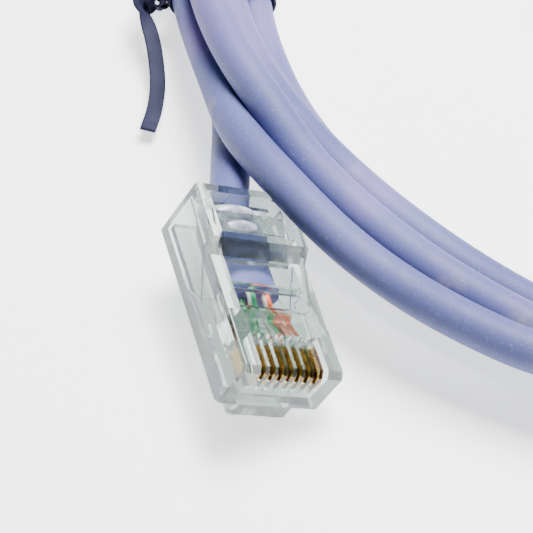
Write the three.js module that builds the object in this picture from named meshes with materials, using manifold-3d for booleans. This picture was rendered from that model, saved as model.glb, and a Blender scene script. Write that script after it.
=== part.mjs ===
// Thin lavender ethernet patch lead, wound into an oval coil and held by a twist tie.
// A clear 8-way modular plug is on each end, and only four of its eight ways are wired.
// Millimetres, +Z up. Each plug is modelled with its contact side up and its nose at y = 0.

import * as THREE from 'three';
import { mergeVertices } from 'three/addons/utils/BufferGeometryUtils.js';
import Module from 'manifold-3d';

const wasm = await Module();
wasm.setup();

// Cable
const CABLE_DIAMETER = 4.2;
const CABLE_SIDES = 8;
const FIT_GAP = 0.3; // between the soft cable's solids and what they meet

// Coil: the oval that the outermost turn follows on the floor, and the bundle of turns inside it.
// The flank is the oval's point nearest plug a, and stays there when the oval grows.
const COIL = {
  flankX: 2.94, flankY: 5.73, halfLength: 52, halfWidth: 38.5, turned: -54.2,
  outside: 1.2, bundleWidth: 11.8, height: 10, edgeRound: 2,
};

// Plug housing
const PLUG = {
  width: 11.68, length: 21.6, frontHeight: 6.2, rearHeight: 7.6,
  shoulderTop: 14.8, shoulderFoot: 13.6, noseChamfer: 0.6, edge: 0.25,
};
const CAVITY = { width: 7.8, bottom: 1.15, top: 5.65, start: 7.4 };
const WIRE_SLOT = { width: 8.4, bottom: 1.95, top: 3.15, start: 0.9 };
const CLAMP_WINDOW = { width: 8.8, start: 15.6, end: 20.6 };
const CLAMP_BAR = { start: 16.7, end: 18.7, bottom: 5.95, top: 7.1, slope: 0.5, sunk: 0.3 };
const JACKET_WINDOW = { width: 8.2, start: 10.5, end: 13.3 };
const WIRE_RECESS = { width: 8.2, start: 7.7, end: 9.8, bottom: 4.5 };
const SIDE_PANEL = {
  depth: 0.35, low: 1.4, middle: 2.8, high: 6.2, start: 10.2, bend: 13, end: 20.6, topBend: 15, topSlope: 0.4,
};

// Contacts, in a comb of slots
const WAYS = 8;
const PITCH = 1.02;
const SLOT = { width: 0.6, length: 4.5, noseDrop: 1.6 };
const COMB = { start: 0.15, sink: 0.2, past: 1 };
const CONTACT = {
  thickness: 0.4, start: 0.25, end: 3.7, top: 5.4, noseRound: 0.8, heelRound: 0.4, heelRise: 0.6, clear: 0.1,
};

// Latch, one moulding with the housing
const LATCH = {
  width: 6.2, tailWidth: 3.4, rootDrop: 2.05, rootLength: 2.4, front: 0.3,
  step: 8.5, end: 15, stepDrop: 2.45, endDrop: 3.6, thickness: 0.9,
  sunk: 0.4, rootRound: 0.5, fillet: 0.3, lap: 1,
};

// Insulated conductors: way (counted from the left, contact side up), and seat in the jacket's end
const CONDUCTORS = [
  { name: 'green', way: 3, colour: 0x2f8f5f, seat: [-1.05, -0.6] },
  { name: 'white_green', way: 6, colour: 0xd9e6dc, seat: [-0.85, 1] },
  { name: 'orange', way: 7, colour: 0xe0653c, seat: [0.25, -1.2] },
  { name: 'white_orange', way: 8, colour: 0xf0dfd2, seat: [1.3, 0.5] },
];
const CONDUCTOR = { diameter: 0.88, sides: 8, tip: 1.2, straightEnd: 4.9, leadIn: 0.7, steps: 14 };
const JACKET_END = 11;
const JACKET_MIDDLE = 3.4; // height of the jacket's axis above the latch side

// Twist tie
const TIE = {
  width: 1.7, thickness: 0.5, at: -126, pinch: 0.6, groove: 2.3,
  knotLength: 3.2, knotDiameter: 2.2, knotHeight: 5, tailRoot: 1.2, sunk: 0.2,
};
// Its two tails from the knot, as [inward, along the bundle, height] from the tie's place
const TAIL_LOW = [[-4.29, -4.8, 3.2], [-4.49, -9.31, 1.4], [-5.11, -13.27, 0.6], [-6.08, -16.77, 0.45]];
const TAIL_HIGH = [[-3.1, 4.22, 5.4], [-2.46, 7.57, 4.6], [-1.27, 10.44, 3.2]];

// Where the plugs lie: nose middle on the latch side, from the coil's flank for plug a and from its
// middle for plug b, then heading, pitch and roll in degrees
const PLUG_A = { x: -3.06, y: -25.89, z: 3.32, heading: 15.9, pitch: 3.1, roll: 29.8 };
const PLUG_B = { x: 16.33, y: -2.75, z: 6.2, heading: 36, pitch: 5.4, roll: 180 };

// Cable routes from each plug to the coil, as [angle on the oval, inward, height]
const LEAD_A = [[-94.7, -6.46, 6.9], [-96.8, -4.93, 6.2], [-98.6, -2.68, 5.4]];
const LEAD_B = [
  [-237.6, 22.72, 4.9], [-228.4, 20, 4.5], [-218.3, 17.02, 4.7], [-208, 14.06, 5.2], [-202.3, 12.71, 5.6],
];

const radians = THREE.MathUtils.degToRad;

function finish(colour, roughness, metalness = 0, opacity = 1) {
  return new THREE.MeshStandardMaterial({
    color: colour, roughness, metalness, opacity, transparent: opacity < 1,
  });
}

function named(name, geometry, material) {
  const mesh = new THREE.Mesh(geometry, material);
  mesh.name = name;
  return mesh;
}

function toSolid(geometry) {
  const bare = geometry.clone();
  bare.deleteAttribute('normal');
  bare.deleteAttribute('uv');
  const merged = mergeVertices(bare, 1e-4);
  return new wasm.Manifold(new wasm.Mesh({
    numProp: 3,
    vertProperties: new Float32Array(merged.attributes.position.array),
    triVerts: new Uint32Array(merged.index.array),
  }));
}

function toGeometry(solid) {
  const mesh = solid.getMesh();
  const geometry = new THREE.BufferGeometry();
  geometry.setAttribute('position', new THREE.BufferAttribute(new Float32Array(mesh.vertProperties), 3));
  geometry.setIndex(new THREE.BufferAttribute(new Uint32Array(mesh.triVerts), 1));
  return geometry;
}

// A box from its lowest to its highest corner.
function block([x0, y0, z0], [x1, y1, z1]) {
  const box = new THREE.BoxGeometry(x1 - x0, y1 - y0, z1 - z0);
  return toSolid(box.translate((x0 + x1) / 2, (y0 + y1) / 2, (z0 + z1) / 2));
}

// A side view, as [y, z] points going round anticlockwise, carried from x0 to x1.
function sideProfile(points, x0, x1, edge = 0) {
  const shape = new THREE.Shape(points.map(([y, z]) => new THREE.Vector2(y, z)));
  const geometry = new THREE.ExtrudeGeometry(shape, {
    depth: x1 - x0 - 2 * edge, steps: 1, bevelEnabled: edge > 0,
    bevelSize: edge, bevelThickness: edge, bevelOffset: -edge, bevelSegments: 1,
  });
  geometry.rotateX(Math.PI / 2).rotateZ(Math.PI / 2);
  return toSolid(geometry.translate(x0 + edge, 0, 0));
}

// The circle or strip of a cable, wire or tie, as points round its middle.
function roundSection(diameter, sides) {
  const points = [];
  for (let i = 0; i < sides; i += 1) {
    const turn = (2 * Math.PI * (i + 0.5)) / sides;
    points.push(new THREE.Vector2(Math.cos(turn) * diameter / 2, Math.sin(turn) * diameter / 2));
  }
  return new THREE.Shape(points);
}

function stripSection(width, thickness) {
  const [a, b] = [width / 2, thickness / 2];
  return new THREE.Shape([[-a, -b], [a, -b], [a, b], [-a, b]].map((p) => new THREE.Vector2(...p)));
}

function sweep(section, points, steps) {
  const path = new THREE.CatmullRomCurve3(points.map((p) => new THREE.Vector3(...p)), false, 'centripetal');
  return new THREE.ExtrudeGeometry(section, { extrudePath: path, steps, bevelEnabled: false });
}

const wayX = (way) => (way - (WAYS + 1) / 2) * PITCH;

function housingOutline() {
  const { length, frontHeight, rearHeight, shoulderTop, shoulderFoot, noseChamfer } = PLUG;
  return [
    [0, noseChamfer], [noseChamfer, 0], [length, 0], [length, rearHeight],
    [shoulderTop, rearHeight], [shoulderFoot, frontHeight], [noseChamfer, frontHeight],
    [0, frontHeight - noseChamfer],
  ];
}

function latchSolid() {
  const { width, tailWidth, rootDrop, rootLength, front, step, end } = LATCH;
  const { stepDrop, endDrop, thickness, sunk, rootRound, fillet, lap } = LATCH;
  const root = [
    [front, sunk], [front, -rootDrop + rootRound], [front + rootRound, -rootDrop], [step, -stepDrop],
    [step, -stepDrop + thickness], [rootLength + fillet, -rootDrop + thickness],
    [rootLength, -rootDrop + thickness + fillet], [rootLength, sunk],
  ];
  const tail = [
    [step - lap, -stepDrop], [end, -endDrop], [end, -endDrop + thickness],
    [step - lap, -stepDrop + thickness],
  ];
  return sideProfile(root, -width / 2, width / 2)
    .add(sideProfile(tail, -tailWidth / 2, tailWidth / 2));
}

function contactSlots() {
  const { start, sink, past } = COMB;
  const top = PLUG.frontHeight + past;
  const slots = [];
  for (let way = 1; way <= WAYS; way += 1) {
    const [left, right] = [wayX(way) - SLOT.width / 2, wayX(way) + SLOT.width / 2];
    slots.push(block([left, -past, PLUG.frontHeight - SLOT.noseDrop], [right, past, top]));
    slots.push(block([left, start, WIRE_SLOT.top - sink], [right, SLOT.length, top]));
  }
  return slots;
}

function sidePanels() {
  const { depth, low, middle, high, start, bend, end, topBend, topSlope } = SIDE_PANEL;
  const outline = [
    [start, middle], [bend, low], [end, low], [end, high], [topBend, high - topSlope],
  ];
  const half = PLUG.width / 2;
  return [
    sideProfile(outline, -half - 1, -half + depth),
    sideProfile(outline, half - depth, half + 1),
  ];
}

function clampBar() {
  const { start, end, bottom, top, slope, sunk } = CLAMP_BAR;
  const half = CLAMP_WINDOW.width / 2 + sunk;
  const outline = [
    [start, bottom + slope], [start + slope, bottom], [end, bottom + slope], [end, top],
    [start + slope, top - slope],
  ];
  return sideProfile(outline, -half, half);
}

function housing() {
  const half = PLUG.width / 2;
  const [above, past] = [PLUG.rearHeight + 1, CAVITY.top - 0.5];
  const cut = ({ width, start, end }, low, high) => block([-width / 2, start, low], [width / 2, end, high]);
  let solid = sideProfile(housingOutline(), -half, half, PLUG.edge).add(latchSolid());
  const cuts = [
    cut({ ...CAVITY, end: PLUG.length + 1 }, CAVITY.bottom, CAVITY.top),
    cut({ ...WIRE_SLOT, end: CAVITY.start + 1 }, WIRE_SLOT.bottom, WIRE_SLOT.top),
    cut(CLAMP_WINDOW, past, above),
    cut(JACKET_WINDOW, past, above),
    cut(WIRE_RECESS, WIRE_RECESS.bottom, above),
    ...contactSlots(),
    ...sidePanels(),
  ];
  for (const space of cuts) solid = solid.subtract(space);
  return toGeometry(solid.add(clampBar()));
}

function contact() {
  const { thickness, start, end, top, noseRound, heelRound, heelRise, clear } = CONTACT;
  const foot = WIRE_SLOT.top + clear;
  const outline = [
    [start, foot + heelRise], [start + heelRound, foot], [end, foot], [end, top],
    [start + noseRound, top], [start + noseRound * 0.3, top - noseRound * 0.3], [start, top - noseRound],
  ];
  return toGeometry(sideProfile(outline, -thickness / 2, thickness / 2));
}

function conductor({ way, seat }) {
  const { diameter, sides, tip, straightEnd, leadIn, steps } = CONDUCTOR;
  const height = (WIRE_SLOT.bottom + WIRE_SLOT.top) / 2;
  const x = wayX(way);
  const seatHeight = JACKET_MIDDLE + seat[1];
  return sweep(roundSection(diameter, sides), [
    [x, tip, height], [x, straightEnd, height], [(x + seat[0]) / 2, CAVITY.start + 0.3, height],
    [seat[0], JACKET_END - leadIn, seatHeight], [seat[0], JACKET_END - FIT_GAP, seatHeight],
  ], steps);
}

function plug(label, place, from) {
  const group = new THREE.Group();
  group.add(named(`plug_${label}_housing`, housing(), finish(0xc9d4d1, 0.12, 0, 0.45)));
  for (let way = 1; way <= WAYS; way += 1) {
    const blade = named(`plug_${label}_contact_${way}`, contact(), finish(0xb08a3a, 0.3, 1));
    blade.position.x = wayX(way);
    group.add(blade);
  }
  for (const wire of CONDUCTORS) {
    group.add(named(`plug_${label}_conductor_${wire.name}`, conductor(wire), finish(wire.colour, 0.4)));
  }
  group.position.set(from.x + place.x, from.y + place.y, place.z);
  group.rotation.set(radians(place.pitch), radians(place.roll), radians(place.heading), 'ZXY');
  group.updateMatrixWorld();
  return group;
}

// The oval's frame: its middle on the floor, with its length along X and its far flank toward +Y.
function coilFrame() {
  const turned = new THREE.Matrix4().makeRotationZ(radians(COIL.turned));
  const middle = new THREE.Vector3(0, COIL.halfWidth, 0).applyMatrix4(turned);
  middle.add(new THREE.Vector3(COIL.flankX, COIL.flankY, 0));
  return new THREE.Matrix4().makeTranslation(middle).multiply(turned);
}

// A frame on the oval at an angle in degrees, with X pointing inward.
function ovalFrame(angle) {
  const turn = radians(angle);
  const [a, b] = [COIL.halfLength, COIL.halfWidth];
  const inward = Math.atan2(-a * Math.sin(turn), -b * Math.cos(turn));
  return new THREE.Matrix4().makeTranslation(a * Math.cos(turn), b * Math.sin(turn), 0)
    .multiply(new THREE.Matrix4().makeRotationZ(inward));
}

function onCoil([angle, inward, height]) {
  const place = coilFrame().multiply(ovalFrame(angle));
  return new THREE.Vector3(inward, 0, height).applyMatrix4(place).toArray();
}

// The cable from the jacket's end inside a plug, out of its rear, and along its route to the coil.
function lead(label, plugGroup, route) {
  const inPlug = (y) => plugGroup.localToWorld(new THREE.Vector3(0, y, JACKET_MIDDLE)).toArray();
  const inside = [JACKET_END, PLUG.length - 2, PLUG.length + 3].map(inPlug);
  const points = [...inside, ...route.map(onCoil)];
  const section = roundSection(CABLE_DIAMETER, CABLE_SIDES);
  return named(`cable_lead_${label}`, sweep(section, points, 14), finish(0x9a9cc4, 0.45));
}

// An oval ring seen from above, with rounded edges and a flat underside.
function coilSolid() {
  const { halfLength, halfWidth, outside, bundleWidth, height, edgeRound } = COIL;
  const inside = bundleWidth - outside;
  const outline = new THREE.Shape();
  outline.absellipse(0, 0, halfLength + outside, halfWidth + outside, 0, 2 * Math.PI, false);
  const opening = new THREE.Path();
  opening.absellipse(0, 0, halfLength - inside, halfWidth - inside, 0, 2 * Math.PI, true);
  outline.holes.push(opening);
  const geometry = new THREE.ExtrudeGeometry(outline, {
    depth: height - 2 * edgeRound, steps: 1, curveSegments: 28, bevelEnabled: true,
    bevelSize: edgeRound, bevelThickness: edgeRound, bevelOffset: -edgeRound, bevelSegments: 3,
  });
  return toSolid(geometry.translate(0, 0, edgeRound));
}

// The four sides of the tie round the pinched bundle. The groove that it lies in is grown by the fit gap.
function tieBand(width, isGroove) {
  const { thickness, pinch } = TIE;
  const low = -COIL.outside + pinch;
  const high = COIL.bundleWidth - COIL.outside - pinch;
  const inner = [low, high, thickness, COIL.height - pinch];
  const outer = [low - thickness, high + thickness, 0, COIL.height - pinch + thickness];
  const wall = ([x0, x1, z0, z1], half, by) => block([x0 - by, -half, z0 - by], [x1 + by, half, z1 + by]);
  const band = wall(outer, width / 2, isGroove ? COIL.edgeRound * 2 : 0)
    .subtract(wall(inner, width, isGroove ? -FIT_GAP : 0));
  return toGeometry(band).applyMatrix4(ovalFrame(TIE.at));
}

function coilMesh() {
  const solid = coilSolid().subtract(toSolid(tieBand(TIE.groove, true)));
  return named('cable_coil', toGeometry(solid).applyMatrix4(coilFrame()), finish(0x9a9cc4, 0.45));
}

function twistTie() {
  const place = coilFrame().multiply(ovalFrame(TIE.at));
  const at = (...point) => new THREE.Vector3(...point).applyMatrix4(place).toArray();
  const onKnot = (inward) => at(inward, 0, TIE.knotHeight);
  const start = -COIL.outside + TIE.pinch - TIE.thickness;
  const end = start - TIE.knotLength;
  const tail = (points) => [onKnot(end + TIE.tailRoot), ...points.map((point) => at(...point))];
  const strip = stripSection(TIE.width, TIE.thickness);
  const pieces = [
    sweep(roundSection(TIE.knotDiameter, 8), [start + TIE.sunk, (start + end) / 2, end].map(onKnot), 2),
    sweep(strip, tail(TAIL_LOW), 10),
    sweep(strip, tail(TAIL_HIGH), 8),
  ];
  const band = toSolid(tieBand(TIE.width, false).applyMatrix4(coilFrame()));
  const solid = pieces.reduce((whole, piece) => whole.add(toSolid(piece)), band);
  return named('twist_tie', toGeometry(solid), finish(0x8c8caa, 0.5));
}

function patchLead() {
  const whole = new THREE.Group();
  const coilMiddle = new THREE.Vector3().setFromMatrixPosition(coilFrame());
  const plugA = plug('a', PLUG_A, { x: COIL.flankX, y: COIL.flankY });
  const plugB = plug('b', PLUG_B, coilMiddle);
  whole.add(plugA, plugB, coilMesh(), twistTie());
  whole.add(lead('a', plugA, LEAD_A), lead('b', plugB, LEAD_B));
  const box = new THREE.Box3().setFromObject(whole, true);
  const middle = box.getCenter(new THREE.Vector3());
  whole.position.set(-middle.x, -middle.y, -box.min.z);
  whole.updateMatrixWorld();
  return whole;
}

export default patchLead();
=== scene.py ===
"""An ethernet patch lead in a tied oval coil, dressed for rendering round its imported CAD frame."""

import logging
import math
from dataclasses import dataclass, field
from enum import Enum

import bmesh
import bpy
import numpy as np
from mathutils import Euler, Matrix, Vector

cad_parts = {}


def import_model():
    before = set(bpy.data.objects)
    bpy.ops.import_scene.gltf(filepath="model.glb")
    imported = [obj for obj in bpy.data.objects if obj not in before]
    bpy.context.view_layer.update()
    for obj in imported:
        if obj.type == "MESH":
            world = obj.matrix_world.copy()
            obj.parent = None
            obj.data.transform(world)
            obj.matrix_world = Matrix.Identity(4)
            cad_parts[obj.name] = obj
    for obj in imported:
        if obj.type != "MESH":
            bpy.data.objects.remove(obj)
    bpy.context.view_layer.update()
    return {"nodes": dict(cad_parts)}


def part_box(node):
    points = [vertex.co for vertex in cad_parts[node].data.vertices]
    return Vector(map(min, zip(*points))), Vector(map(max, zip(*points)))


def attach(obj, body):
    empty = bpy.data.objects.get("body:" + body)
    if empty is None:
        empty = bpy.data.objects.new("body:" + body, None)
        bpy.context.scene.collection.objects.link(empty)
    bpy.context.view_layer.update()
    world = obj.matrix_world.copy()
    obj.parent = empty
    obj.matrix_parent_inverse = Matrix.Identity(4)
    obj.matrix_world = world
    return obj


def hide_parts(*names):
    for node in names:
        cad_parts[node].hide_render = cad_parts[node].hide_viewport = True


LOG = logging.getLogger("patch_lead")
MM = 0.001
ROOT = "root"

Point = tuple[float, float, float]
Colour = tuple[float, float, float, float]
Tree = bpy.types.NodeTree
Socket = bpy.types.NodeSocket
Material = bpy.types.Material
Piece = bpy.types.Object


class Wire(Enum):
    """The four insulated conductors, by the name of their CAD nodes."""

    GREEN = "green"
    WHITE_GREEN = "white_green"
    ORANGE = "orange"
    WHITE_ORANGE = "white_orange"


def srgb(code: str) -> Colour:
    """Turns an sRGB hex colour to linear light.

    Args:
        code: six hex digits, with or without a leading hash.

    Returns:
        Red, green, blue and an alpha of 1, linear.
    """
    parts = [int(code.lstrip("#")[i : i + 2], 16) / 255 for i in (0, 2, 4)]
    linear = [c / 12.92 if c <= 0.04045 else ((c + 0.055) / 1.055) ** 2.4 for c in parts]
    return (*linear, 1.0)


def add_node(tree: Tree, kind: str, values: dict | None = None, **settings) -> bpy.types.Node:
    """Adds one shader node with its settings, and sets or links its inputs.

    Args:
        tree: the material's node tree.
        kind: the node's type, without the leading ShaderNode.
        values: input name or number to a constant, or to the output socket that feeds it.
        settings: properties of the node itself.

    Returns:
        The new node.
    """
    node = tree.nodes.new("ShaderNode" + kind)
    for name, value in settings.items():
        setattr(node, name, value)
    for key, value in (values or {}).items():
        if isinstance(value, Socket):
            tree.links.new(value, node.inputs[key])
        else:
            node.inputs[key].default_value = value
    return node


def ramp(tree: Tree, factor: Socket, stops: list[tuple[float, Colour]]) -> Socket:
    """Maps a factor to colours at the given stops.

    Args:
        tree: the material's node tree.
        factor: the socket that drives the ramp.
        stops: position from 0 to 1 and linear colour, in order.

    Returns:
        The ramp's colour socket.
    """
    node = add_node(tree, "ValToRGB", {"Fac": factor})
    elements = node.color_ramp.elements
    while len(elements) < len(stops):
        elements.new(0.5)
    for element, (position, colour) in zip(elements, stops):
        element.position = position
        element.color = colour
    return node.outputs["Color"]


def grey(level: float) -> Colour:
    """A neutral colour of the given linear lightness."""
    return (level, level, level, 1.0)


def new_material(name: str) -> tuple[Material, Tree, bpy.types.Node]:
    """Makes an empty node material.

    Args:
        name: what the surface is made of.

    Returns:
        The material, its node tree and its Principled shader.
    """
    material = bpy.data.materials.new(name)
    material.use_nodes = True
    tree = material.node_tree
    return material, tree, tree.nodes["Principled BSDF"]


def grain(tree: Tree, size_mm: float, detail: float = 2.0, rough: float = 0.5) -> Socket:
    """A noise whose features are about the given size, read from Object coordinates.

    Args:
        tree: the material's node tree.
        size_mm: the distance between the noise's features in millimetres.
        detail: how many finer layers lie over the first.
        rough: how strong the finer layers are.

    Returns:
        The noise's factor socket.
    """
    place = add_node(tree, "TexCoord").outputs["Object"]
    per_metre = 1.0 / (size_mm * MM)
    values = {"Vector": place, "Scale": per_metre, "Detail": detail, "Roughness": rough}
    return add_node(tree, "TexNoise", values).outputs["Fac"]


def patches(tree: Tree, noise: Socket, start: float, full: float, strength: float) -> Socket:
    """A mask of patches where a noise is high.

    Args:
        tree: the material's node tree.
        noise: the noise's factor socket.
        start: the noise value at which the patches begin.
        full: the noise value at which they reach their strength.
        strength: the mask's value inside a patch, from 0 to 1.

    Returns:
        The mask's socket.
    """
    return ramp(tree, noise, [(start, grey(0.0)), (full, grey(strength))])


def varied(tree: Tree, noise: Socket, low: float, high: float) -> Socket:
    """Stretches a noise to lie between two values, and returns the result's socket."""
    return add_node(tree, "MapRange", {0: noise, 3: low, 4: high}).outputs[0]


def blend_colours(tree: Tree, factor: Socket, under: Colour | Socket, over: Colour | Socket) -> Socket:
    """Mixes two colours or colour sockets by a factor socket, and returns the result's socket."""
    node = add_node(tree, "Mix", {0: factor, 6: under, 7: over}, data_type="RGBA")
    return node.outputs[2]


@dataclass(frozen=True)
class JacketPvc:
    """Extruded flexible PVC: a satin lavender skin, a little chalky, dusted and faintly stained."""

    pale: str = "#6B70A2"
    deep: str = "#53588B"
    purple: str = "#806BA8"
    stain: str = "#A9A694"
    dust: str = "#DCDDE6"
    tone_mm: float = 25.0
    purple_mm: float = 14.0
    stain_mm: float = 5.0
    dust_mm: float = 0.22
    wear_mm: float = 1.6
    bump_mm: float = 0.6
    roughness: float = 0.55
    shine: float = 0.3

    def material(self) -> Material:
        """Builds the jacket's material.

        Returns:
            A material with broad tone changes, purple bands, faint stains, fine dust and a soft bump, each
            at its own size in millimetres.
        """
        material, tree, shader = new_material("extruded_pvc_jacket")
        broad = [(0.35, srgb(self.deep)), (0.65, srgb(self.pale))]
        tone = ramp(tree, grain(tree, self.tone_mm, 1), broad)
        bands = patches(tree, grain(tree, self.purple_mm, 1), 0.5, 0.68, 0.6)
        tone = blend_colours(tree, bands, tone, srgb(self.purple))
        stains = patches(tree, grain(tree, self.stain_mm, 3), 0.62, 0.78, 0.28)
        tone = blend_colours(tree, stains, tone, srgb(self.stain))
        specks = patches(tree, grain(tree, self.dust_mm, 2, 0.75), 0.63, 0.8, 0.45)
        tree.links.new(blend_colours(tree, specks, tone, srgb(self.dust)), shader.inputs["Base Color"])
        worn = varied(tree, grain(tree, self.wear_mm, 3), self.roughness - 0.08, self.roughness + 0.14)
        tree.links.new(worn, shader.inputs["Roughness"])
        shader.inputs["IOR"].default_value = 1.53
        shader.inputs["Specular IOR Level"].default_value = self.shine
        shader.inputs["Subsurface Weight"].default_value = 0.06
        shader.inputs["Subsurface Radius"].default_value = (0.6, 0.5, 0.8)
        shader.inputs["Subsurface Scale"].default_value = 0.4 * MM
        skin = {"Strength": 0.22, "Distance": 0.05 * MM, "Height": grain(tree, self.bump_mm, 3, 0.6)}
        tree.links.new(add_node(tree, "Bump", skin).outputs[0], shader.inputs["Normal"])
        return material


@dataclass(frozen=True)
class ClearPolycarbonate:
    """Injection-moulded clear polycarbonate: faint grey-green, glossy, with slight flow marks."""

    tint: str = "#CBD8D3"
    roughness: float = 0.05
    # A little below polycarbonate's own 1.585, so that the pieces inside stay easy to see
    ior: float = 1.49
    # The share of light that the moulding bends; the rest passes straight through
    alpha: float = 0.9
    flow_mm: float = 2.0

    def material(self) -> Material:
        """Builds the housing's material.

        Returns:
            A refracting material whose surface waves by hundredths of a millimetre.
        """
        material, tree, shader = new_material("moulded_clear_polycarbonate")
        shader.inputs["Base Color"].default_value = srgb(self.tint)
        shader.inputs["Roughness"].default_value = self.roughness
        shader.inputs["IOR"].default_value = self.ior
        shader.inputs["Transmission Weight"].default_value = 1.0
        shader.inputs["Alpha"].default_value = self.alpha
        waves = {"Strength": 0.25, "Distance": 0.04 * MM, "Height": grain(tree, self.flow_mm, 2)}
        tree.links.new(add_node(tree, "Bump", waves).outputs[0], shader.inputs["Normal"])
        return material


@dataclass(frozen=True)
class ClampPolycarbonate:
    """Polycarbonate of the pressed clamp, painted pale white to stand in for the bright highlights on its
    ridges: cloudy and softly glossy.
    """

    cloudy: str = "#9FA4BC"
    # The pale white is painted highlight, standing in for the bright shine on the clamp's ridges
    highlight_white: str = "#DCE1EA"
    highlight_patch_mm: float = 1.0
    roughness: float = 0.2
    clear: float = 0.25

    def material(self) -> Material:
        """Builds the clamp's material.

        Returns:
            A partly clear material, mottled by noise between a cloudy tone and the painted highlight white.
        """
        material, tree, shader = new_material("clamp_polycarbonate_painted_highlight")
        # Noise mottles the base colour between the cloudy tone and the painted highlight white
        cloud_and_highlight = [(0.35, srgb(self.cloudy)), (0.65, srgb(self.highlight_white))]
        tree.links.new(ramp(tree, grain(tree, self.highlight_patch_mm, 2), cloud_and_highlight), shader.inputs["Base Color"])
        shader.inputs["Roughness"].default_value = self.roughness
        shader.inputs["IOR"].default_value = 1.585
        shader.inputs["Transmission Weight"].default_value = self.clear
        return material


@dataclass(frozen=True)
class GoldPlate:
    """Gold plated over stamped phosphor bronze: warm, fairly smooth, browner where it is worn."""

    gold: str = "#D89E40"
    brown: str = "#86551C"
    patch_mm: float = 0.8
    wear_mm: float = 0.15
    roughness: float = 0.24

    def material(self) -> Material:
        """Builds the contacts' material.

        Returns:
            A metal with brown patches, whose roughness varies over a fraction of a millimetre.
        """
        material, tree, shader = new_material("gold_plated_bronze")
        plating = [(0.32, srgb(self.brown)), (0.52, srgb(self.gold))]
        tree.links.new(ramp(tree, grain(tree, self.patch_mm, 2), plating), shader.inputs["Base Color"])
        shader.inputs["Metallic"].default_value = 1.0
        worn = varied(tree, grain(tree, self.wear_mm, 2), self.roughness - 0.08, self.roughness + 0.14)
        tree.links.new(worn, shader.inputs["Roughness"])
        return material


@dataclass(frozen=True)
class WireInsulation:
    """Extruded polyethylene round one conductor: satin, one colour, or pale with a coloured stripe."""

    name: str
    colour: str
    stripe: str | None = None
    # The share of the way round the wire that the stripe takes
    stripe_share: float = 0.3
    cloud: str = "#F2F2EA"
    cloud_mm: float = 0.7
    roughness: float = 0.35

    def material(self) -> Material:
        """Builds the insulation's material.

        Returns:
            A material with faint cloudiness, and a stripe along the piece's own UV map where it has one.
        """
        material, tree, shader = new_material("polyethylene_" + self.name)
        cloudy = varied(tree, grain(tree, self.cloud_mm, 2), 0.0, 0.22)
        tone = blend_colours(tree, cloudy, srgb(self.colour), srgb(self.cloud))
        if self.stripe:
            around = add_node(tree, "SeparateXYZ", {0: add_node(tree, "TexCoord").outputs["UV"]})
            inside = {0: around.outputs["X"], 1: self.stripe_share}
            band = add_node(tree, "Math", inside, operation="LESS_THAN")
            tone = blend_colours(tree, band.outputs[0], tone, srgb(self.stripe))
        tree.links.new(tone, shader.inputs["Base Color"])
        shader.inputs["Roughness"].default_value = self.roughness
        shader.inputs["IOR"].default_value = 1.51
        return material


@dataclass(frozen=True)
class TieCoating:
    """Soft PVC over a steel wire: dark grey lavender, nearly matt, scuffed where it was handled."""

    pale: str = "#303147"
    dark: str = "#23243A"
    scuff_mm: float = 3.0
    bump_mm: float = 0.4
    roughness: float = 0.62
    shine: float = 0.12

    def material(self) -> Material:
        """Builds the tie's material.

        Returns:
            A material with broad scuffs and a fine bump.
        """
        material, tree, shader = new_material("coated_tie_strip")
        scuffs = [(0.35, srgb(self.dark)), (0.7, srgb(self.pale))]
        tree.links.new(ramp(tree, grain(tree, self.scuff_mm, 3), scuffs), shader.inputs["Base Color"])
        shader.inputs["Roughness"].default_value = self.roughness
        shader.inputs["IOR"].default_value = 1.53
        shader.inputs["Specular IOR Level"].default_value = self.shine
        skin = {"Strength": 0.3, "Distance": 0.05 * MM, "Height": grain(tree, self.bump_mm, 2)}
        tree.links.new(add_node(tree, "Bump", skin).outputs[0], shader.inputs["Normal"])
        return material


@dataclass(frozen=True)
class StudioPaper:
    """Matt pale paper under and behind the lead."""

    colour: str = "#F5F7F6"
    roughness: float = 0.9
    glow: float = 1.6

    def material(self) -> Material:
        """Builds the floor's material.

        Returns:
            A pale matt material with a little light of its own, so that shadows on it stay faint.
        """
        material, _, shader = new_material("studio_paper")
        shader.inputs["Base Color"].default_value = srgb(self.colour)
        shader.inputs["Roughness"].default_value = self.roughness
        shader.inputs["Emission Color"].default_value = srgb(self.colour)
        shader.inputs["Emission Strength"].default_value = self.glow
        return material


def through(points: np.ndarray, per_span: int) -> np.ndarray:
    """A smooth curve through the points.

    Each span is a cubic Hermite curve, whose tangent at a point is half the step between its two neighbours.

    Args:
        points: rows of coordinates, in order.
        per_span: how many samples each span gets.

    Returns:
        The samples, from the first point to the last.
    """
    slope = np.gradient(points, axis=0)
    t = np.linspace(0, 1, per_span, endpoint=False)[None, :, None]
    a, b, m, n = (v[:, None, :] for v in (points[:-1], points[1:], slope[:-1], slope[1:]))
    leaving = (2 * t**3 - 3 * t**2 + 1) * a + (t**3 - 2 * t**2 + t) * m
    arriving = (3 * t**2 - 2 * t**3) * b + (t**3 - t**2) * n
    return np.vstack([(leaving + arriving).reshape(-1, points.shape[1]), points[-1:]])


def lengths(path: np.ndarray) -> np.ndarray:
    """The distance along a path at each of its points."""
    return np.concatenate([[0.0], np.cumsum(np.linalg.norm(np.diff(path, axis=0), axis=1))])


def evenly(path: np.ndarray, spacing: float) -> np.ndarray:
    """The same path with points at an even distance.

    Args:
        path: rows of coordinates.
        spacing: the wanted distance between points.

    Returns:
        The path's first and last points, and points about that far apart between them.
    """
    along = lengths(path)
    at = np.linspace(0, along[-1], max(2, int(round(along[-1] / spacing)) + 1))
    return np.stack([np.interp(at, along, path[:, k]) for k in range(3)], axis=1)


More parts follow.
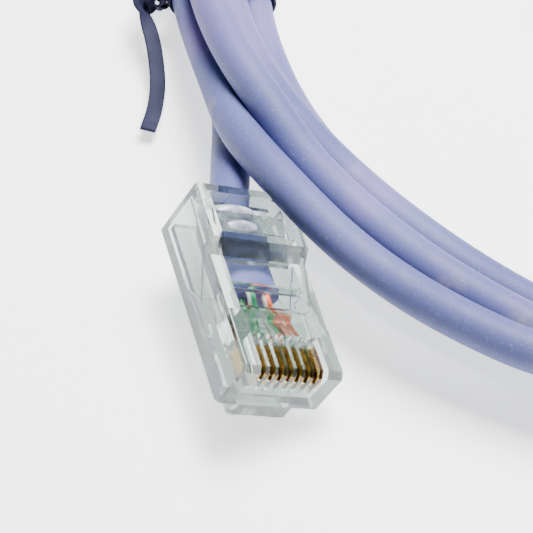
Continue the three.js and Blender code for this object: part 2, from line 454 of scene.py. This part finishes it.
def softened(path: np.ndarray, reach: int) -> np.ndarray:
    """Averages each point with its neighbours, so that small kinks go; both ends stay where they are.

    Args:
        path: rows of coordinates at even distances.
        reach: how many neighbours on each side are averaged.

    Returns:
        The smoother path.
    """
    weights = np.hanning(2 * reach + 3)[1:-1]
    weights /= weights.sum()
    steps = np.arange(reach, 0, -1)[:, None]
    head = path[0] - (path[1] - path[0]) * steps
    tail = path[-1] + (path[-1] - path[-2]) * steps[::-1]
    padded = np.vstack([head, path, tail])
    return np.stack([np.convolve(padded[:, k], weights, "valid") for k in range(3)], axis=1)


def frames(path: np.ndarray) -> tuple[np.ndarray, np.ndarray]:
    """Two directions across a path at each point, square to it: the first level, the second upward.

    Args:
        path: rows of coordinates, nowhere vertical.

    Returns:
        The sideways and the upward directions.
    """
    along = np.gradient(path, axis=0)
    along /= np.linalg.norm(along, axis=1)[:, None]
    side = np.cross(along, (0.0, 0.0, 1.0))
    side /= np.maximum(np.linalg.norm(side, axis=1), 1e-9)[:, None]
    return side, np.cross(side, along)


def ring_frames(path: np.ndarray) -> tuple[np.ndarray, np.ndarray]:
    """Two directions across a flat ring: the first square to its plane, the second in the plane.

    Args:
        path: rows of coordinates, whose last point is followed by the first.

    Returns:
        The sideways and the upward directions.
    """
    along = np.roll(path, -1, axis=0) - np.roll(path, 1, axis=0)
    along /= np.linalg.norm(along, axis=1)[:, None]
    normal = np.cross(along[0], along[len(along) // 4])
    side = np.broadcast_to(normal / np.linalg.norm(normal), along.shape)
    return side, np.cross(side, along)


def mesh_object(
    name: str, vertices: np.ndarray, faces: list, material: Material, smooth: bool = True
) -> Piece:
    """Makes an object at the origin from vertices and faces in metres.

    Args:
        name: the piece's name.
        vertices: rows of coordinates.
        faces: index lists, each going anticlockwise from outside.
        material: the piece's finish.
        smooth: whether its faces are shaded smooth.

    Returns:
        The object, linked to the scene.
    """
    mesh = bpy.data.meshes.new(name)
    mesh.from_pydata(vertices.tolist(), [], faces)
    mesh.polygons.foreach_set("use_smooth", np.full(len(mesh.polygons), smooth))
    mesh.materials.append(material)
    mesh.update()
    piece = bpy.data.objects.new(name, mesh)
    bpy.context.scene.collection.objects.link(piece)
    return piece


def carried(
    name: str,
    path: np.ndarray,
    section: np.ndarray,
    material: Material,
    closed: bool = False,
    twist: np.ndarray | None = None,
    stretch: np.ndarray | None = None,
) -> Piece:
    """Carries a closed section along a path.

    Point (i, j) is path point i, plus the section's x times the sideways direction and its y times
    the upward one, both turned about the path by the twist at i.

    Args:
        name: the piece's name.
        path: rows of coordinates in metres.
        section: rows of x and y in metres, anticlockwise.
        material: the piece's finish.
        closed: whether the path's end joins its start; else both ends get a cap.
        twist: the section's turn at each path point in radians.
        stretch: rows of how much wider and taller the section is at each path point.

    Returns:
        The finished object with its faces outward. Its UV map holds the share of the way round the
        section, and the distance along the path in millimetres.
    """
    side, up = ring_frames(path) if closed else frames(path)
    if twist is not None:
        c, s = np.cos(twist)[:, None], np.sin(twist)[:, None]
        side, up = c * side + s * up, c * up - s * side
    if stretch is not None:
        side, up = side * stretch[:, :1], up * stretch[:, 1:]
    rows, count = len(path), len(section)
    grid = path[:, None] + section[None, :, :1] * side[:, None] + section[None, :, 1:] * up[:, None]
    i, j = np.meshgrid(np.arange(rows if closed else rows - 1), np.arange(count), indexing="ij")
    a, b = (i % rows) * count, ((i + 1) % rows) * count
    k = (j + 1) % count
    quads = np.stack([a + j, a + k, b + k, b + j], axis=-1).reshape(-1, 4)
    faces = quads.tolist()
    if not closed:
        faces += [list(range(count - 1, -1, -1)), list(range((rows - 1) * count, rows * count))]
    piece = mesh_object(name, grid.reshape(-1, 3), faces, material)
    along = lengths(path) / MM
    loops = np.zeros(len(piece.data.loops), np.int32)
    piece.data.loops.foreach_get("vertex_index", loops)
    uv = np.stack([(loops % count) / count, along[loops // count]], axis=1).astype(np.float32)
    piece.data.uv_layers.new(name="along").data.foreach_set("uv", uv.ravel())
    return outward(piece)


def outward(piece: Piece) -> Piece:
    """Turns every face of a closed mesh outward.

    Args:
        piece: the object whose mesh is turned.

    Returns:
        The same object.
    """
    work = bmesh.new()
    work.from_mesh(piece.data)
    bmesh.ops.recalc_face_normals(work, faces=work.faces)
    work.to_mesh(piece.data)
    work.free()
    return piece


def circle(diameter: float, sides: int) -> np.ndarray:
    """A round section: points of equal turn on a circle, in the unit of its diameter."""
    turn = 2 * math.pi * np.arange(sides) / sides
    return np.stack([np.cos(turn), np.sin(turn)], axis=1) * diameter / 2


@dataclass
class Oval:
    """The oval that the coil's outermost turn follows on the floor, in millimetres and degrees."""

    middle: Vector
    half_length: float = 52.0
    half_width: float = 38.5
    turned: float = -54.2

    def points(self, route: np.ndarray) -> np.ndarray:
        """Places on the coil.

        The oval's point at an angle is (half length times cosine, half width times sine). Inward is
        square to the oval there, and both are turned about the middle.

        Args:
            route: rows of angle on the oval, distance inward, and height.

        Returns:
            Rows of x, y and z in metres.
        """
        angle = np.radians(route[:, 0])
        a, b = self.half_length, self.half_width
        flat = np.stack([a * np.cos(angle), b * np.sin(angle)], axis=1)
        inward = np.stack([-b * np.cos(angle), -a * np.sin(angle)], axis=1)
        inward /= np.linalg.norm(inward, axis=1)[:, None]
        flat = flat + inward * route[:, 1:2]
        c, s = math.cos(math.radians(self.turned)), math.sin(math.radians(self.turned))
        x = self.middle.x / MM + c * flat[:, 0] - s * flat[:, 1]
        y = self.middle.y / MM + s * flat[:, 0] + c * flat[:, 1]
        return np.stack([x, y, route[:, 2]], axis=1) * MM


@dataclass
class PlugPlace:
    """Where a plug lies: its nose's middle on the latch side in millimetres, and its turns in degrees.

    The plug's length, the height of the cable's axis in it, and how far behind its nose the jacket ends
    are the same for both plugs.
    """

    label: str
    nose: Point
    heading: float
    pitch: float
    roll: float
    length: float = 21.6
    axis_height: float = 3.4
    jacket_end: float = 11.0
    # Two more points keep the cable straight, this far behind the plug's rear
    straight: tuple[float, float] = (-2.0, 0.5)

    def matrix(self) -> Matrix:
        """Turns the plug from its own frame into the row frame: rolled, then pitched, then headed.

        Returns:
            The plug's place as a matrix in metres.
        """
        turn = Matrix.Rotation(math.radians(self.heading), 4, "Z")
        turn = turn @ Matrix.Rotation(math.radians(self.pitch), 4, "X")
        turn = turn @ Matrix.Rotation(math.radians(self.roll), 4, "Y")
        return Matrix.Translation(Vector(self.nose) * MM) @ turn

    def points(self, local: np.ndarray) -> np.ndarray:
        """Rows of millimetres in the plug's frame, as rows of metres in the row frame."""
        place = np.array(self.matrix())
        return (local * MM) @ place[:3, :3].T + place[:3, 3]


@dataclass
class PatchCable:
    """The jacketed cable from one plug, through the coil, to the other plug. Sizes in millimetres."""

    oval: Oval
    start: PlugPlace
    end: PlugPlace
    diameter: float = 4.2
    length: float = 1200.0
    sides: int = 28
    spacing: float = 0.9
    softening: int = 6
    clamped_width: float = 1.48
    clamped_height: float = 0.86
    # The clamp's flattening fades over this length, which starts this far inside the plug's rear
    clamp_fade: float = 7.0
    clamp_inside: float = 5.0
    # From this angle on, the route has a point every few degrees
    even_from: float = -100.0
    step_degrees: float = 2.0
    # From each plug to the coil, as (angle, inward, height)
    lead_a: tuple[Point, ...] = (
        (-92.5, -6.56, 6.5), (-94.2, -5.47, 5.9), (-96, -4.41, 5.3), (-97.8, -3.39, 4.6),
    )
    lead_b: tuple[Point, ...] = (
        (-202.3, 12.71, 5.6), (-208, 14.06, 5.2), (-218.3, 17.02, 4.7), (-228.4, 20, 4.5),
        (-237.6, 22.72, 4.9),
    )
    # The five passes of the flank that faces the camera, in the order that the cable takes them, each
    # from the flank's far end to the tie, as (angle, inward, height)
    under_pass: tuple[Point, ...] = (
        (-99.8, -2.41, 4), (-101.5, -1.47, 3.4), (-103.5, -0.58, 2.8), (-105.5, 0.26, 2.4), (-107.8, 1, 2.2),
        (-110, 1.46, 2.1), (-113.5, 1.7, 2.1), (-130, 2.35, 2.1),
    )
    inner_pass: tuple[Point, ...] = (
        (-54, 2.11, 2.1), (-62, 2.32, 2.1), (-70, 2.83, 2.1), (-78, 4.1, 2.1), (-82, 5.01, 2.12),
        (-86, 5.94, 2.25), (-90, 6.71, 2.4), (-94, 7.13, 2.46), (-102, 7.18, 2.27), (-114, 7.49, 2.16),
        (-130, 7.65, 2.1),
    )
    third_pass: tuple[Point, ...] = (
        (-54, 7.0, 2.1), (-58, 6.69, 2.89), (-62, 6.38, 3.67), (-66, 6.07, 4.42), (-70, 5.78, 5.12),
        (-74, 5.55, 5.7), (-78, 5.38, 6.11), (-86, 5.22, 6.4), (-94, 5.09, 6.32), (-102, 4.91, 6.1),
        (-110, 4.72, 5.9), (-118, 4.47, 5.79), (-130, 4.27, 5.86),
    )
    outer_pass: tuple[Point, ...] = (
        (-54, -2.21, 7.81), (-62, -2.46, 8.26), (-70, -2.8, 8.77), (-78, -2.93, 9.46), (-86, -2.69, 10.04),
        (-90, -2.51, 10.02), (-94, -2.39, 9.6), (-98, -2.07, 8.79), (-102, -1.34, 7.94), (-106, -0.56, 7.36),
        (-110, -0.06, 6.98), (-118, 0.21, 6.53), (-130, 0.04, 5.95),
    )
    second_pass: tuple[Point, ...] = (
        (-54, 1.73, 6.3), (-62, 1.81, 6.89), (-70, 1.75, 7.52), (-78, 1.7, 8.22), (-86, 1.64, 8.66),
        (-90, 1.66, 8.89), (-94, 1.81, 9.39), (-98, 1.87, 10.18), (-102, 1.63, 10.88), (-106, 1.39, 11.19),
        (-110, 1.39, 11.24), (-118, 1.51, 10.81), (-130, 1.82, 9.77),
    )
    # The way round the rest of the oval after each pass but the last
    floor_turn: tuple[Point, ...] = ((-180, 2.2, 2.1), (-270, 2.2, 2.1), (-360, 2.2, 2.1))
    inner_turn: tuple[Point, ...] = ((-180, 7.0, 2.1), (-270, 7.0, 2.1), (-360, 7.0, 2.1))
    upper_turn: tuple[Point, ...] = (
        (-180, 4.6, 5.8), (-270, 4.6, 5.8), (-340, 4.6, 5.8), (-360, 4.2, 6.4), (-372, 2.8, 7.6),
        (-385, 1.5, 8.9), (-400, -1.9, 9.3),
    )
    outer_turn: tuple[Point, ...] = (
        (-155, -1.2, 4.0), (-180, -2.0, 2.1), (-270, -2.0, 2.1), (-360, -2.0, 2.1), (-372, -1.8, 3.0),
        (-385, -0.9, 5.0), (-400, 0.9, 6.1),
    )
    inward_drop: tuple[Point, ...] = (
        (-140, 2.3, 9.9), (-155, 4.5, 10.1), (-170, 7.5, 9.6), (-180, 9.5, 8.2), (-190, 11.2, 6.7),
    )

    def coil_route(self) -> np.ndarray:
        """Winds the passes and turns one after another.

        Returns:
            Rows of angle, inward and height. The angle falls by 360 degrees each turn.
        """
        parts = [
            (0, self.lead_a + self.under_pass), (0, self.floor_turn),
            (1, self.inner_pass), (1, self.inner_turn),
            (2, self.third_pass), (2, self.upper_turn),
            (3, self.outer_pass), (3, self.outer_turn),
            (4, self.second_pass), (4, self.inward_drop + self.lead_b),
        ]
        stations = np.array([(a - 360 * turn, n, z) for turn, part in parts for a, n, z in part])
        first, last = stations[: len(self.lead_a), 0], stations[-1:, 0]
        angles = np.concatenate([first, np.arange(self.even_from, last[0], -self.step_degrees), last])
        values = [np.interp(-angles, -stations[:, 0], stations[:, k]) for k in (1, 2)]
        return np.stack([angles, *values], axis=1)

    def path(self) -> np.ndarray:
        """The cable's centre line.

        It is straight inside each plug and a little way out of it, and between the plugs it follows
        the coil's route with its kinks averaged out.

        Returns:
            Rows of x, y and z in metres.
        """
        plug = self.start
        stops = (plug.jacket_end, *(plug.length + past for past in plug.straight))
        inside = np.array([(0, y, plug.axis_height) for y in stops])
        coil = self.oval.points(self.coil_route())
        whole = np.vstack([self.start.points(inside), coil, self.end.points(inside[::-1])])
        even = evenly(through(whole, per_span=6), self.spacing * MM)
        return softened(even, self.softening)

    def clamped(self, path: np.ndarray) -> tuple[np.ndarray, np.ndarray]:
        """How the plugs' clamps flatten the jacket.

        The flattening is whole inside a plug and fades over a smooth step at its rear. It lies flat in
        the plug, so the section turns there by the plug's roll.

        Args:
            path: the cable's centre line in metres.

        Returns:
            The section's turn, and its width and height factors, at each point.
        """
        along = lengths(path) / MM
        nearest = np.minimum(along, along[-1] - along)
        rear = self.start.length - self.start.jacket_end
        step = np.clip((nearest - rear + self.clamp_inside) / self.clamp_fade, 0, 1)
        flat = 1 - step**2 * (3 - 2 * step)
        turn = np.where(along < along[-1] / 2, -math.radians(self.start.roll) * flat, 0.0)
        return turn, 1 + flat[:, None] * (np.array([self.clamped_width, self.clamped_height]) - 1)

    def build(self, finish: Material, far_pieces: list[Piece]) -> Piece:
        """Args:
            finish: the jacket's material.
            far_pieces: the pieces of the plug on its far end; not used.

        Returns:
            The cable.
        """
        path = self.path()
        LOG.info("cable centre line: %.1f mm", lengths(path)[-1] / MM)
        turn, stretch = self.clamped(path)
        round_section = circle(self.diameter * MM, self.sides)
        cable = carried("cable", path, round_section, finish, twist=turn, stretch=stretch)
        rear = np.array([(0, self.start.length, self.start.axis_height)])
        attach(cable, ROOT)
        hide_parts("cable_coil", "cable_lead_a", "cable_lead_b")
        self.start.points(rear)[0].tolist()
        return cable


@dataclass(frozen=True)
class PlugFinishes:
    """The materials that both plugs share."""

    clear: Material
    pressed: Material
    plate: Material
    wires: dict[Wire, Material]


@dataclass
class ModularPlug:
    """One clear 8-way plug with its contacts and conductors. Sizes in millimetres, in the plug's frame."""

    place: PlugPlace
    edge_round: float = 0.16
    pitch: float = 1.02
    ways: int = 8
    wire_diameter: float = 0.88
    wire_sides: int = 16
    wire_spacing: float = 0.25
    # The copy's vertices closer than this are merged, and edges between faces this flat go
    weld: float = 0.002
    flat_angle: float = 1.0
    # Edges sharper than this are rounded, in this many steps
    edge_angle: float = 25.0
    edge_steps: int = 2
    clamp_box: tuple[Point, Point] = ((-3.4, 16.6, 5.75), (1.7, 20.5, 7.0))
    clamp_grid: tuple[int, int] = (33, 41)
    clamp_wall: float = 0.3
    clamp_lift: float = 0.02
    # Below 1, the ridges are fuller than plain half sines
    clamp_fullness: float = 0.7
    slot_height: float = 2.55
    # How far behind the nose each conductor's points lie: three in the slot, one between, two in the jacket
    wire_stations: tuple[float, ...] = (1.2, 3.0, 4.9, 7.7, 10.3, 11.4)
    # Each wire's way, and where it leaves the jacket: sideways and upward from the jacket's axis
    seats: dict[Wire, tuple[int, float, float]] = field(
        default_factory=lambda: {
            Wire.GREEN: (3, -1.05, -0.6),
            Wire.WHITE_GREEN: (6, -0.85, 1.0),
            Wire.ORANGE: (7, 0.25, -1.2),
            Wire.WHITE_ORANGE: (8, 1.3, 0.5),
        }
    )

    def node(self, name: str) -> str:
        """The CAD node's name for one of this plug's pieces."""
        return f"plug_{self.place.label}_{name}"

    def housing(self, nodes: dict[str, Piece], finish: Material) -> Piece:
        """Makes the moulded housing from a merged copy of its CAD mesh, with rounded edges.

        Args:
            nodes: the frame's CAD nodes.
            finish: the clear material.

        Returns:
            The housing.
        """
        name = self.node("housing")
        mesh = nodes[name].data.copy()
        work = bmesh.new()
        work.from_mesh(mesh)
        bmesh.ops.remove_doubles(work, verts=work.verts, dist=self.weld * MM)
        flat = math.radians(self.flat_angle)
        bmesh.ops.dissolve_limit(work, angle_limit=flat, verts=work.verts, edges=work.edges)
        work.to_mesh(mesh)
        work.free()
        mesh.materials.clear()
        mesh.materials.append(finish)
        mesh.polygons.foreach_set("use_smooth", np.full(len(mesh.polygons), False))
        piece = bpy.data.objects.new(name + "_moulding", mesh)
        bpy.context.scene.collection.objects.link(piece)
        bevel = piece.modifiers.new("rounded_edges", "BEVEL")
        bevel.width = self.edge_round * MM
        bevel.segments = self.edge_steps
        bevel.limit_method = "ANGLE"
        bevel.angle_limit = math.radians(self.edge_angle)
        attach(piece, ROOT)
        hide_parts(name)
        return piece

    def conductor(self, wire: Wire, finish: Material) -> Piece:
        """Makes one insulated conductor, from its way under the contact to its seat in the jacket.

        Args:
            wire: which conductor.
            finish: its insulation's material.

        Returns:
            The conductor, replacing its CAD node.
        """
        way, seat_x, seat_z = self.seats[wire]
        x = (way - (self.ways + 1) / 2) * self.pitch
        height, seat = self.slot_height, self.place.axis_height + seat_z
        across = [x, x, x, (x + seat_x) / 2, seat_x, seat_x]
        upward = [height, height, height, height, seat, seat]
        local = np.stack([across, self.wire_stations, upward], axis=1)
        path = evenly(self.place.points(through(local, per_span=8)), self.wire_spacing * MM)
        section = circle(self.wire_diameter * MM, self.wire_sides)
        piece = carried(self.node("wire_" + wire.value), path, section, finish)
        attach(piece, ROOT)
        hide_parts(self.node("conductor_" + wire.value))
        return piece

    def clamp(self, finish: Material) -> Piece:
        """Makes the pressed clamp tongue: two rounded ridges across the jacket, inside the rear window.

        Over a grid of x and y its top is a base height plus two half sines along y, each raised to a
        power that fills it out, and faded by a rounded square root toward both ends of x. The
        underside is the same grid, flat.

        Args:
            finish: the clamp's material.

        Returns:
            The clamp.
        """
        low, high = self.clamp_box
        rows, columns = self.clamp_grid
        across, along = np.meshgrid(np.linspace(-1, 1, rows), np.linspace(0, 1, columns), indexing="ij")
        fade = np.sqrt(np.clip(1 - across**2, 0, 1))
        rise = np.abs(np.sin(2 * math.pi * along)) ** self.clamp_fullness
        x = low[0] + (high[0] - low[0]) * (across + 1) / 2
        y = low[1] + (high[1] - low[1]) * along
        top = low[2] + (high[2] - low[2]) * rise * fade + self.clamp_lift
        sheet = np.stack([x, y, top], axis=-1).reshape(-1, 3)
        under = sheet * (1, 1, 0) + (0, 0, low[2] - self.clamp_wall)
        number = np.arange(rows * columns).reshape(rows, columns)
        cell = [number[:-1, :-1], number[1:, :-1], number[1:, 1:], number[:-1, 1:]]
        upper = np.stack(cell, axis=-1).reshape(-1, 4)
        lower = upper[:, ::-1] + number.size
        rim = np.concatenate([number[:, 0], number[-1, 1:], number[-2::-1, -1], number[0, -2:0:-1]])
        following = np.roll(rim, -1)
        wall = np.stack([rim + number.size, following + number.size, following, rim], axis=1)
        faces = np.vstack([upper, lower, wall]).tolist()
        local = np.vstack([sheet, under])
        piece = outward(mesh_object(self.node("clamp"), self.place.points(local), faces, finish))
        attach(piece, ROOT)
        return piece

    def contacts(self, nodes: dict[str, Piece], finish: Material) -> list[Piece]:
        """Gives each CAD contact its plated finish.

        Args:
            nodes: the frame's CAD nodes.
            finish: the plating's material.

        Returns:
            The contacts, in order.
        """
        found = [nodes[self.node(f"contact_{way}")] for way in range(1, self.ways + 1)]
        for contact in found:
            contact.data.materials.clear()
            contact.data.materials.append(finish)
        return found

    def build(self, nodes: dict[str, Piece], finishes: PlugFinishes) -> list[Piece]:
        """Makes and dresses the whole plug.

        Args:
            nodes: the frame's CAD nodes.
            finishes: the plugs' materials.

        Returns:
            Every piece of the plug.
        """
        pieces = [self.housing(nodes, finishes.clear), self.clamp(finishes.pressed)]
        pieces += self.contacts(nodes, finishes.plate)
        pieces += [self.conductor(wire, finishes.wires[wire]) for wire in Wire]
        LOG.info("plug %s: %d pieces", self.place.label, len(pieces))
        return pieces


@dataclass
class TwistTie:
    """The coated tie round the bundle, its twisted knot and its two tails. Sizes in millimetres."""

    oval: Oval
    angle: float = -126.0
    width: float = 1.75
    thickness: float = 0.5
    wire: float = 0.42
    # Half of the section beside the wire, as shares of the half width and the half thickness
    edge: tuple[tuple[float, float], ...] = ((1, -0.5), (1, 0.5), (0.85, 0.7), (0.4, 0.75))
    wire_share: float = 0.18
    clearance: float = 0.12
    cable_radius: float = 2.1
    # The middles of the strands that the tie holds, as (inward, height)
    bundle: tuple[tuple[float, float], ...] = ((2.2, 2.1), (7.6, 2.1), (4.3, 5.8), (0.1, 6.15), (1.7, 10.1))
    wrap_shifts: tuple[float, ...] = (-0.3, 0.7)
    slant: float = 0.21
    wrap_spacing: float = 0.4
    wrap_samples: int = 720
    knot_start: float = -2.2
    knot_length: float = 3.4
    knot_height: float = 5.0
    knot_turns: float = 1.5
    knot_radius: float = 0.62
    knot_samples: int = 40
    tail_spacing: float = 0.3
    softening: int = 3
    # Each tail from the knot to its end, as (inward, along, height)
    tail_low: tuple[Point, ...] = (
        (-5.1, -1.2, 4.6), (-4.5, -4.8, 3.2), (-4.5, -9.3, 1.9), (-5.2, -13.1, 1.5), (-6.3, -16.4, 1.6),
    )
    tail_high: tuple[Point, ...] = ((-5.2, 1.4, 5.2), (-3.4, 4.2, 5.4), (-2.5, 7.6, 4.6), (-1.3, 10.4, 3.4))
    # The strip's turn about its own length in radians, at shares of the way along knot and tail
    turns: tuple[tuple[float, float], ...] = ((0, 3.0), (0.25, 1.2), (0.4, 0.25), (1, 0.1))

    def points(self, local: np.ndarray) -> np.ndarray:
        """Moves points from the tie's own frame to the row frame.

        Args:
            local: rows of distance inward, along the bundle, and height, in millimetres.

        Returns:
            Rows of x, y and z in metres.
        """
        angle = math.radians(self.angle)
        a, b = self.oval.half_length, self.oval.half_width
        inward = np.array([-b * math.cos(angle), -a * math.sin(angle)])
        inward /= np.linalg.norm(inward)
        turn = math.radians(self.oval.turned)
        spin = np.array([[math.cos(turn), -math.sin(turn)], [math.sin(turn), math.cos(turn)]])
        inward = spin @ inward
        along = np.array([-inward[1], inward[0]])
        origin = self.oval.points(np.array([(self.angle, 0.0, 0.0)]))[0]
        flat = local[:, :1] * inward + local[:, 1:2] * along
        return origin + np.hstack([flat, local[:, 2:]]) * MM

    def strip(self) -> np.ndarray:
        """The strip's section: a thin band, flat below, that thickens in the middle over its wire.

        Returns:
            Rows of x and y in metres, anticlockwise.
        """
        w, t, r = self.width / 2, self.thickness / 2, self.wire / 2
        right = [(w * x, t * y) for x, y in self.edge] + [(w * self.wire_share, r)]
        left = [(-x, y) for x, y in reversed(right)]
        return np.array(right + left) * MM

    def band_path(self, shift: float) -> np.ndarray:
        """The tie's way round the bundle.

        It is the outline that a tight band takes: at each turn of direction, the farthest that any
        strand's circle reaches that way, which is the hull of circles with the tie's half thickness added.
        The band slants: it lies farther along the bundle in proportion to its distance inward.

        Args:
            shift: how far along the bundle this wrap lies.

        Returns:
            Rows of metres, going once round.
        """
        turn = np.linspace(0, 2 * math.pi, self.wrap_samples, endpoint=False)
        ways = np.stack([np.cos(turn), np.sin(turn)], axis=1)
        centres = np.array(self.bundle)
        reach = self.cable_radius + self.clearance + self.thickness / 2
        best = (ways @ centres.T).argmax(axis=1)
        hull = centres[best] + ways * reach
        hull[:, 1] = np.maximum(hull[:, 1], self.thickness / 2)
        local = np.stack([hull[:, 0], shift + self.slant * hull[:, 0], hull[:, 1]], axis=1)
        ring = self.points(local)
        ring = np.vstack([ring, ring[:1]])
        return evenly(ring, self.wrap_spacing * MM)[:-1]

    def knot_strand(self, phase: float) -> np.ndarray:
        """One of the knot's two strands.

        It circles the knot's axis at the knot's radius, while it moves away from the bundle at an even
        rate.

        Args:
            phase: where round the axis it starts, in radians.

        Returns:
            Rows of millimetres in the tie's frame.
        """
        t = np.linspace(0, 1, self.knot_samples)
        turn = phase + 2 * math.pi * self.knot_turns * t
        out = self.knot_start - self.knot_length * t
        height = self.knot_height + self.knot_radius * np.sin(turn)
        return np.stack([out, self.knot_radius * np.cos(turn), height], axis=1)

    def build(self, finish: Material) -> Piece:
        """Makes the tie as one piece.

        Args:
            finish: the coating's material.

        Returns:
            The tie, replacing its CAD node.
        """
        section = self.strip()
        parts = [
            carried("tie_wrap", self.band_path(shift), section, finish, closed=True)
            for shift in self.wrap_shifts
        ]
        for phase, tail in ((0.0, self.tail_low), (math.pi, self.tail_high)):
            local = np.vstack([self.knot_strand(phase), through(np.array(tail), per_span=12)])
            path = softened(evenly(self.points(local), self.tail_spacing * MM), self.softening)
            turn = np.interp(np.arange(len(path)) / len(path), *zip(*self.turns))
            parts.append(carried("tie_tail", path, section, finish, twist=turn))
        chosen = {"selected_editable_objects": parts, "selected_objects": parts}
        with bpy.context.temp_override(active_object=parts[0], object=parts[0], **chosen):
            bpy.ops.object.join()
        tie = parts[0]
        tie.name = "twist_tie_wrap"
        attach(tie, ROOT)
        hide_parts("twist_tie")
        return tie


@dataclass
class Studio:
    """The camera, floor and lights. Lengths in metres."""

    eye: Point = (-0.032645, -0.147052, 0.15263)
    tilt: float = 38.0
    lens: float = 124.95
    sensor_mm: float = 36.0
    near_clip: float = 0.01
    floor_size: float = 4.0
    # The paper lies this far under the part, so that no two faces share a plane
    floor_drop: float = 0.00002
    key_place: Point = (0.08, 0.14, 0.46)
    key_size: float = 0.26
    key_power: float = 10.0
    fill_place: Point = (0.3, 0.1, 0.4)
    fill_size: float = 0.3
    fill_power: float = 0.7
    sky_colour: str = "#F4F6FA"
    sky: float = 0.08

    def camera(self) -> None:
        """Places the camera at the photograph's view, level and with a long lens."""
        data = bpy.data.cameras.new("camera")
        data.lens = self.lens
        data.sensor_width = self.sensor_mm
        data.clip_start = self.near_clip
        camera = bpy.data.objects.new("camera", data)
        camera.location = self.eye
        camera.rotation_euler = Euler((math.radians(self.tilt), 0, 0))
        bpy.context.scene.collection.objects.link(camera)
        bpy.context.scene.camera = camera

    def floor(self) -> None:
        """Lays one large flat sheet of paper under the lead."""
        h = self.floor_size / 2
        sheet = np.array([(-h, -h, 0), (h, -h, 0), (h, h, 0), (-h, h, 0)]) - (0, 0, self.floor_drop)
        mesh_object("floor", sheet, [[0, 1, 2, 3]], StudioPaper().material(), smooth=False)

    def light(self, name: str, place: Point, size: float, power: float) -> None:
        """Adds one square soft light that faces the middle of the lead.

        Args:
            name: the light's name.
            place: where it hangs.
            size: the length of its side.
            power: its power in watts.
        """
        data = bpy.data.lights.new(name, "AREA")
        data.size = size
        data.energy = power
        lamp = bpy.data.objects.new(name, data)
        lamp.location = place
        lamp.rotation_euler = (-Vector(place)).to_track_quat("-Z", "Y").to_euler()
        bpy.context.scene.collection.objects.link(lamp)

    def build(self) -> None:
        """Sets up the whole studio."""
        self.camera()
        self.floor()
        self.light("key", self.key_place, self.key_size, self.key_power)
        self.light("fill", self.fill_place, self.fill_size, self.fill_power)
        world = bpy.data.worlds.new("studio_sky")
        world.use_nodes = True
        background = world.node_tree.nodes["Background"]
        background.inputs["Color"].default_value = srgb(self.sky_colour)
        background.inputs["Strength"].default_value = self.sky
        bpy.context.scene.world = world


def main() -> None:
    """Loads the frame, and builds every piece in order."""
    logging.basicConfig(level=logging.INFO)
    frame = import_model()
    nodes = frame["nodes"]
    low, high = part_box("cable_coil")
    oval = Oval(middle=(low + high) / 2)
    # Both plugs lie where their CAD nodes lie
    near = PlugPlace("a", (-32.765, -47.972, 3.32), heading=15.9, pitch=3.1, roll=29.8)
    far = PlugPlace("b", (17.855, -2.312, 6.2), heading=36, pitch=5.4, roll=180)
    Studio().build()
    finishes = PlugFinishes(
        clear=ClearPolycarbonate().material(),
        pressed=ClampPolycarbonate().material(),
        plate=GoldPlate().material(),
        wires={
            Wire.GREEN: WireInsulation("green", "#2F8F5F").material(),
            Wire.WHITE_GREEN: WireInsulation("white_green", "#DCE6DE", stripe="#3B9668").material(),
            Wire.ORANGE: WireInsulation("orange", "#E0653C").material(),
            Wire.WHITE_ORANGE: WireInsulation("white_orange", "#EFE2D8", stripe="#DE6A45").material(),
        },
    )
    ModularPlug(near).build(nodes, finishes)
    far_pieces = ModularPlug(far).build(nodes, finishes)
    PatchCable(oval, near, far).build(JacketPvc().material(), far_pieces)
    TwistTie(oval).build(TieCoating().material())
    LOG.info("all pieces are built")


if __name__ == "__main__":
    main()
